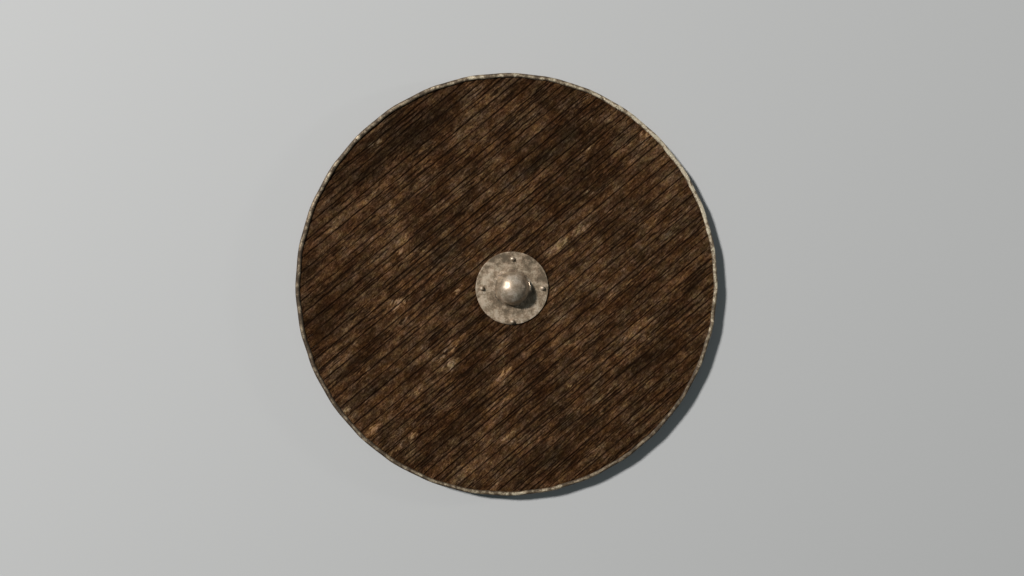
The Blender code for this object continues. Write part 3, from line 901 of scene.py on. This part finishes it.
# the crest is lighter all round: partly worn, partly a painted highlight along the ridge
crest_wear_and_sheen = np.exp(-(((inward - 6.0) / 2.6) ** 2)) * outer * (rise > 0) + 0 * turns
# the outer wall of the rim gets painted shade
outer_wall_painted_shade = np.clip(1 - inward / 2.4, 0, 1) * outer + 0 * turns
# darker at the inner edge of the lip and over the inside of the channel
lip_edge_darkening = np.clip((inward - RIM_BAND + 0.6) / 0.6, 0, 1) * outer + 1.0 * ~outer + 0 * turns


def rim_stretch(middle, half_width):
    """A soft stretch of the rim around this direction in degrees."""
    away = (np.degrees(turns) - middle + 180) % 360 - 180
    return np.exp(-((away / half_width) ** 2)) + 0 * inward


store(
    rim,
    rubbed=np.clip(0.45 * corner_rub + 0.75 * crest_wear_and_sheen, 0, 1),
    sheltered=np.maximum(0.45 * outer_wall_painted_shade, 0.35 * lip_edge_darkening),
    # a painted sheen lightens one stretch of the rim and painted shade darkens the others
    pale=rim_stretch(*PAINTED_SHEEN_STRETCH),
    stain=sum(strength * rim_stretch(middle, half) for middle, half, strength in PAINTED_SHADE_STRETCHES),
)
put_in_place(rim, "rim", rim_iron)
print("rim:", len(rim.data.polygons), "faces")

# %% [markdown]
# ## The boss
#
# The boss is one sheet of iron raised into a hollow dome with a flat flange, to make room for the fist
# behind the hole. Its profile goes from the top of the dome over the fillet and the flange to its rounded
# edge, and back along the underside. Turning it in code, instead of with a modifier, leaves every point
# free for small dents.

# %% Boss
DOME_RADIUS = 34.0
DOME_CENTRE = 4.0  # above the flange
DOME_FILLET = 8.0
EDGE_ROUND = 0.8
BOSS_ROWS = 200
FLANGE_WAVE = 0.16
HAMMER_MARK = 0.10
DENT_COUNT = 16
flange_radius = (boss_high.x - boss_low.x) / 2 / MM
sheet = BOSS_SHEET / MM


def arc(centre, radius, start, end, steps):
    """Points on an arc in the plane of the profile, from start to end in degrees."""
    turns = np.radians(np.linspace(start, end, steps))
    return np.stack([centre[0] + radius * np.cos(turns), centre[1] + radius * np.sin(turns)], axis=-1)


def boss_profile():
    """Radius and height above the flange, in millimetres, from the top of the dome to its inside."""
    outside = math.sqrt((DOME_RADIUS + DOME_FILLET) ** 2 - (DOME_FILLET - DOME_CENTRE) ** 2)
    meeting = math.degrees(math.atan2(DOME_FILLET - DOME_CENTRE, outside))
    flat = np.linspace(outside, flange_radius - EDGE_ROUND, 26)[1:-1]
    return np.concatenate(
        [
            arc((0, DOME_CENTRE), DOME_RADIUS, 90, meeting, 30),
            arc((outside, DOME_FILLET), DOME_FILLET, 180 + meeting, 270, 11)[1:],
            np.stack([flat, 0 * flat], axis=-1),
            arc((flange_radius - EDGE_ROUND, -EDGE_ROUND), EDGE_ROUND, 90, 0, 5),
            arc((flange_radius - EDGE_ROUND, EDGE_ROUND - sheet), EDGE_ROUND, 0, -90, 5),
            np.stack([flat[::-3], 0 * flat[::-3] - sheet], axis=-1),
            arc((outside, DOME_FILLET), DOME_FILLET + sheet, 270, 180 + meeting, 8),
            arc((0, DOME_CENTRE), DOME_RADIUS - sheet, meeting, 90, 14)[1:],
        ]
    )


profile = boss_profile()
turns = np.linspace(0, 2 * math.pi, BOSS_ROWS, endpoint=False)[:, None]
reach, rise = profile[:, 0] + 0 * turns, profile[:, 1] + 0 * turns
on_flange = np.clip((reach - DOME_RADIUS - 5) / 4, 0, 1)
at_edge = np.clip((reach - flange_radius + 6) / 6, 0, 1)
x, y = reach * np.cos(turns), reach * np.sin(turns)
reach = reach - at_edge * 0.35 * (1 + hills(x / 11, y / 11, 21))
reach[:, profile[:, 0] < 0.001] = 0
wavy = FLANGE_WAVE * hills(x / 17, y / 17, 22) * on_flange
hammered = HAMMER_MARK * (hills(x / 5, y / 5, 23) - 1) * on_flange * (rise > -0.5)
dent_random = np.random.default_rng(5)
for _ in range(DENT_COUNT):
    away, turn = dent_random.uniform(42, 74), dent_random.uniform(0, 2 * math.pi)
    size, deep = dent_random.uniform(1.5, 4.5), dent_random.uniform(0.1, 0.35)
    near = ((x - away * math.cos(turn)) ** 2 + (y - away * math.sin(turn)) ** 2) / size**2
    hammered = hammered - deep * np.exp(-near) * (rise > -0.5) * on_flange
rise = rise + wavy + hammered
points = turned(turns, reach, rise) * MM + (0, 0, flange_z)
boss = grid_piece("aged_boss", points, round_rows=True, round_columns=False, poles=True)

# %% [markdown]
# The finish of the boss reads five numbers at each point: how much it is rubbed, how sheltered it is, how
# pale or stained its patina is, and how smooth it is. One dark patch, on the right flank of the dome, is
# painted shade instead of patina. Years of handling keep the dome smooth, and one spot at its foot shines
# in the light of the lamp at the right.

# %% Wear of the boss
# x, y, half width, half height, strength
PALE_PATINA = (
    (-53, 20, 18, 15, 1.0), (-58, -34, 14, 20, 0.9), (-30, -58, 26, 12, 0.7), (14, -62, 30, 9, 0.9),
    (10, 49, 7, 5, 0.9), (52, -40, 12, 14, 0.5), (-46, 37, 18, 2.5, 1.0), (-2, -22, 15, 6, 0.6),
    (2, 24, 12, 5, 0.4),
)
# the patch at (20, 5) on the dome's right flank is painted shade, which damps the side lamp's sheen there
DARK_PATINA_AND_SHADE = (
    (-25, 62, 34, 12, 1.0), (30, 58, 26, 14, 0.7), (58, 26, 16, 22, 0.7), (-30, -20, 10, 14, 0.5),
    (0, -46, 24, 7, 0.7), (-28, -2, 7, 16, 0.7), (-27, 15, 8, 9, 1.0), (-18, 27, 9, 6, 0.8),
    (-31, 2, 5, 9, 0.8), (20, 5, 8, 14, 1.0), (9, -12, 3, 12, 0.6), (-8, -24, 12, 6, 0.5),
    (-52, 46, 16, 5, 0.8),
)
FOOT_REACH = 37.5
FOOT_WIDTH = 3.2
SHINE_TURN = 13
SHINE_SPREAD = 15
SHINE = 1.75

where = mesh_points(boss)
reach = np.hypot(where[:, 0], where[:, 1]) / MM
above = (where[:, 2] - flange_z) / MM
at_base = np.exp(-(((reach - FOOT_REACH) / FOOT_WIDTH) ** 2)) * (above < DOME_FILLET)
bearing = np.degrees(np.arctan2(where[:, 1], where[:, 0]))
polished = np.exp(-(((bearing - SHINE_TURN) / SHINE_SPREAD) ** 2)) * at_base
base_dirt = 0.42 * at_base - polished
flange_x, flange_y = where[:, 0] / MM, where[:, 1] / MM
on_dome = np.clip((DOME_RADIUS + 0.5 - reach) / 1.5, 0, 1) * (above > 1)
store(
    boss,
    rubbed=0.30 * np.exp(-(((reach - flange_radius + 1.2) / 1.5) ** 2)),
    sheltered=np.maximum(base_dirt, 1.0 * (above < -1.2)),
    pale=np.maximum(spots(flange_x, flange_y, PALE_PATINA), 0.3 * on_dome),
    stain=spots(flange_x, flange_y, DARK_PATINA_AND_SHADE),
    smooth=np.maximum(DOME_SMOOTH * on_dome, SHINE * polished),
)
put_in_place(boss, "boss", boss_iron)
print("boss:", len(boss.data.polygons), "faces")

# %% [markdown]
# ## Rivets
#
# Four rivets hold the flange. Each has a domed head, a shank through iron and wood, and a flat tail
# hammered down behind. The head was struck by hand, so it is never quite round. The CAD nodes say where
# each one sits.

# %% Rivets
LATHE_ROWS = 40
HEAD_RADIUS = 5.0
HEAD_HEIGHT = 6.5
SHANK_RADIUS = 1.6


def lathe(name, profile, centre, seed, uneven=0.03):
    """A turned piece with poles at both ends and a hand-made unevenness, from millimetres."""
    turns = np.linspace(0, 2 * math.pi, LATHE_ROWS, endpoint=False)[:, None]
    reach, rise = profile[:, 0] + 0 * turns, profile[:, 1] + 0 * turns
    x, y = reach * np.cos(turns), reach * np.sin(turns)
    reach = reach * (1 - uneven * (1 + hills(x / 2.2, y / 2.2 + rise / 3, seed)))
    points = turned(turns, reach, rise) * MM + centre
    return grid_piece(name, points, round_rows=True, round_columns=False, poles=True)


def rivet_profile(length):
    """Radius and height above the flange, in millimetres, for a shank of this length."""
    head = arc((0, 0), 1.0, 90, 0, 12) * (HEAD_RADIUS, HEAD_HEIGHT) + (0, 0.3)
    tail = -length
    shank = np.array([(HEAD_RADIUS, 0.1), (SHANK_RADIUS, 0.05), (SHANK_RADIUS, tail), (3.6, tail - 0.02)])
    peened = np.array([(3.75, tail - 0.5), (3.4, tail - 1.2), (2.2, tail - 1.7), (0.0, tail - 1.8)])
    return np.concatenate([head, shank, peened])


shank_length = (flange_z - back_z + FIT_GAP) / MM
for seed, side in enumerate(("right", "top", "left", "bottom"), start=31):
    centre = middle_of(f"boss_rivet_{side}", flange_z)
    rivet = lathe(f"aged_rivet_{side}", rivet_profile(shank_length), centre, seed)
    above = (mesh_points(rivet)[:, 2] - flange_z) / MM
    store(
        rivet,
        rubbed=0.5 * np.clip((above - 2) / 4, 0, 1),
        sheltered=np.clip(0.6 - above / 1.5, 0, 1),
        pale=np.full(above.shape, 0.6),
    )
    put_in_place(rivet, f"boss_rivet_{side}", rivet_iron)
    print(rivet.name, [round(v / MM, 1) for v in centre])

# %% [markdown]
# ## The grip
#
# One ash lath crosses the back. It is deep where the hand holds it and thin in its arms, and its edges are
# rounded. It is a loft: a rounded rectangle at every station, with its own width and height, so the slope
# from hand to arm is a smooth curve. All measures are in millimetres.

# %% Grip
HAND_HALF = 90.0
SLOPE_LENGTH = 25.0
ARM_REACH = 390.5
HAND_WIDTH = 30.0
ARM_END_WIDTH = 22.0
ARM_Z = 9.0
GRIP_TOP = 20.0
HELD_REACH = 62.0
END_EASE = 3.0
HAND_ROUNDING = 4.4
ARM_ROUNDING = 2.8


def rounded_section(half_width, low, high, rounding):
    """A rounded rectangle at every station, as places across and heights."""
    columns = []
    for across_sign, up_sign, start in ((1, 1, 0), (-1, 1, 90), (-1, -1, 180), (1, -1, 270)):
        for turn in np.radians(np.linspace(start, start + 90, 7)):
            corner_x = across_sign * (half_width - rounding)
            corner_z = high - rounding if up_sign > 0 else low + rounding
            columns.append((corner_x + rounding * math.cos(turn), corner_z + rounding * math.sin(turn)))
        if start in (0, 180):
            flat = np.linspace(across_sign, -across_sign, 7)[1:-1]
            level = high if up_sign > 0 else low
            columns += [(share * (half_width - rounding), level + 0 * half_width) for share in flat]
    return columns


station = np.linspace(-ARM_REACH, ARM_REACH, 240)
beyond = np.clip(np.abs(station) - HAND_HALF, 0, None)
half_width = HAND_WIDTH / 2 - (HAND_WIDTH - ARM_END_WIDTH) / 2 * beyond / (ARM_REACH - HAND_HALF)
slope = np.clip(beyond / SLOPE_LENGTH, 0, 1)
low = ARM_Z * slope * slope * (3 - 2 * slope)
near_end = np.clip((np.abs(station) - ARM_REACH + END_EASE) / END_EASE, 0, 1)
rounding = HAND_ROUNDING + (ARM_ROUNDING - HAND_ROUNDING) * slope
half_width = half_width - 1.6 * near_end**2
low = low + 1.2 * near_end**2
high = GRIP_TOP - 1.2 * near_end**2
columns = rounded_section(half_width, low, high, rounding)
aside = np.stack([c for c, _ in columns], axis=-1)
lift = np.stack([z for _, z in columns], axis=-1)
station_grid = station[:, None] + 0 * aside
height = grain_height(station_grid, aside + lift * 0.6, 77)
sunk = 0.16 * (1 - height)
middle_lift = (lift.max(-1, keepdims=True) + lift.min(-1, keepdims=True)) / 2
off = np.hypot(aside, lift - middle_lift)
shrink = 1 - sunk / np.maximum(off, 1)
lath_x = aside * shrink
lath_z = np.clip(middle_lift + (lift - middle_lift) * shrink, 0, GRIP_TOP)
points = board_points(lath_x, station_grid, lath_z)
grip = grid_piece("aged_grip", points * MM, seal_ends=True)
store(
    grip,
    grain=np.stack([station_grid, aside, lift], axis=-1) * MM,
    lift=0.5 + 0.5 * height,
    held=np.exp(-((station_grid / HELD_REACH) ** 4)),
)
print("grip:", len(grip.data.polygons), "faces")

# %% [markdown]
# Ash is paler and finer than the boards. The hand has darkened and polished the middle of the lath, and the
# arms stay drier. The same wood grain group serves here, with a higher fineness.

# %% Oiled ash
ASH_COLOURS = [(0.15, (0.042, 0.024, 0.013)), (0.5, (0.115, 0.068, 0.036)), (0.85, (0.22, 0.145, 0.082))]
ASH_PORE_TINT = (0.35, 0.3, 0.27)

grip_wood, tree, shader = new_material("oiled_ash")
grain = attribute(tree, "grain", "Vector")
parts = place_group(tree, wood_grain, {"Grain": grain, "Fineness": 1.5})
held = attribute(tree, "held")
tone_parts = [(parts["Bands"], 0.34), (parts["Streaks"], 0.30), (parts["Strokes"], 0.18)]
tone = weighed_sum(tree, [*tone_parts, (attribute(tree, "lift"), 0.20), (held, -0.12)])
ash = colour_ramp(tree, tone, ASH_COLOURS)
ash = blend(tree, calc(tree, "MULTIPLY", parts["Pores"], 0.6), ash, ASH_PORE_TINT, "MULTIPLY")
tree.links.new(ash, shader["Base Color"])
tree.links.new(less(tree, 0.66, held, 0.24), shader["Roughness"])
surface = weighed_sum(tree, [(parts["Streaks"], 0.6), (parts["Strokes"], 0.5), (parts["Pores"], -0.7)])
add_bump(tree, shader, surface, 0.3 * MM, 0.6)
put_in_place(grip, "grip", grip_wood)

# %% [markdown]
# ## Nails
#
# Six forged nails, driven in from behind, hold the lath. A forged head has a few flat faces from the
# hammer, so its radius goes up and down round the head.

# %% Nails
# radius and height above the arm's underside, in millimetres
NAIL_SHANK = [(0, 18.0), (0.5, 17.0), (1.5, 15.0), (1.5, -0.35)]
NAIL_HEAD = [(4.1, -0.35), (4.4, -0.8), (3.9, -1.3), (2.4, -1.8), (0, -2.05)]
NAIL_COUNT = 6
for number in range(1, NAIL_COUNT + 1):
    node = f"grip_nail_{number}"
    nail_profile = np.array(NAIL_SHANK + NAIL_HEAD)
    centre = middle_of(node, ARM_Z * MM)
    nail = lathe(f"forged_nail_{number}", nail_profile, centre, 60 + number, uneven=0.07)
    depth = -(mesh_points(nail)[:, 2] / MM - ARM_Z)
    store(
        nail,
        rubbed=np.clip((depth - 1.2) / 0.9, 0, 1),
        sheltered=np.clip(1 - depth / 0.8, 0, 1),
    )
    put_in_place(nail, node, nail_iron)
print("nail heads end at z =", round(min(mesh_points(nail)[:, 2]) / MM, 2), "mm")

# %% [markdown]
# ## The floor's finish and the last lines
#
# The floor stays plain, so that nothing competes with the shield.

# %% Floor finish
floor_paint, tree, shader = new_material("pale_floor")
shader["Base Color"].default_value = (0.50, 0.495, 0.485, 1)
shader["Roughness"].default_value = 0.9
floor.data.materials.append(floor_paint)
